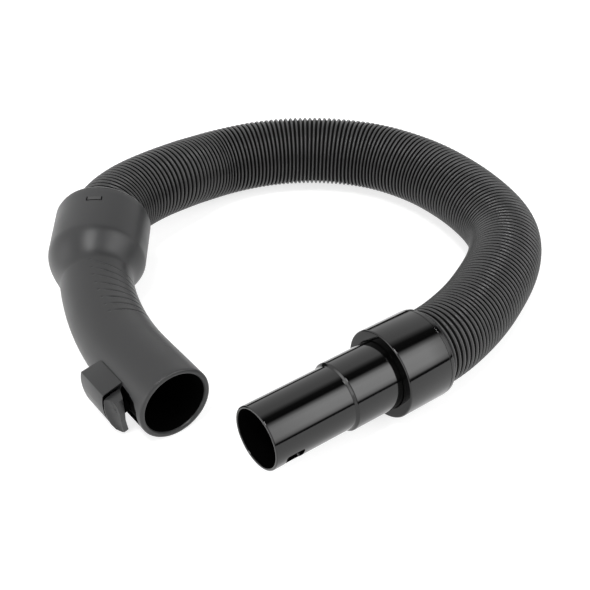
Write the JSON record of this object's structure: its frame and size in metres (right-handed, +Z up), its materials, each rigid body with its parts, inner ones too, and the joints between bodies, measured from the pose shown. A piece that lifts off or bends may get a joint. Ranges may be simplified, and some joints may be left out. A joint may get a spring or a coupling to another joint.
{
  "type": "vacuum cleaner hose",
  "caption": "Corrugated stretch hose with a bent hand grip, wand latch and swivel bell on one end and a stepped swivel cuff on the other.",
  "frame": {"origin": "floor level, under the middle of the box of the grip and cuff, hose left out", "axes": "+Z up; -X out of the cuff's spigot; -Y out of the grip's mouth"},
  "size_m": [0.3065, 0.2779, 0.0611],
  "materials": {
    "grip_plastic": "fine matte texture",
    "trim_plastic": "satin",
    "hose_skin": "satin, corrugated",
    "cuff_plastic": "polished",
    "seal_rubber": "matte",
    "steel": "drawn wire"
  },
  "bodies": {
    "hose": {"hose": "hose_skin", "hose_sleeve": "trim_plastic", "cuff_collar": "cuff_plastic", "cuff_seal": "seal_rubber", "cuff_snap_ring": "trim_plastic"},
    "handle": {"handle_shell": "grip_plastic", "latch_housing": "grip_plastic", "latch_pin": "steel", "latch_spring": "steel", "swivel_ring": "trim_plastic", "swivel_seal": "seal_rubber"},
    "latch": {"latch_lever": "grip_plastic"},
    "cuff_tube": {"cuff_tube": "cuff_plastic"}
  },
  "joints": [
    {"name": "handle_swivel", "type": "hinge", "parent": "hose", "child": "handle", "pos_m": [-0.00422, 0.10172, 0.03299], "axis": [0.5947, 0.788, 0.1593], "continuous": true},
    {"name": "cuff_swivel", "type": "hinge", "parent": "hose", "child": "cuff_tube", "pos_m": [-0.0326, -0.0978, 0.0249], "axis": [1, 0, 0], "continuous": true},
    {"name": "latch_pivot", "type": "hinge", "parent": "handle", "child": "latch", "pos_m": [-0.07284, -0.0225, 0.0146], "axis": [0.2588, 0, -0.9659], "range_deg": [0, 10], "stiffness_Nm_per_rad": 0.25, "springref_deg": -8.59, "deforming": ["latch_spring"]}
  ]
}
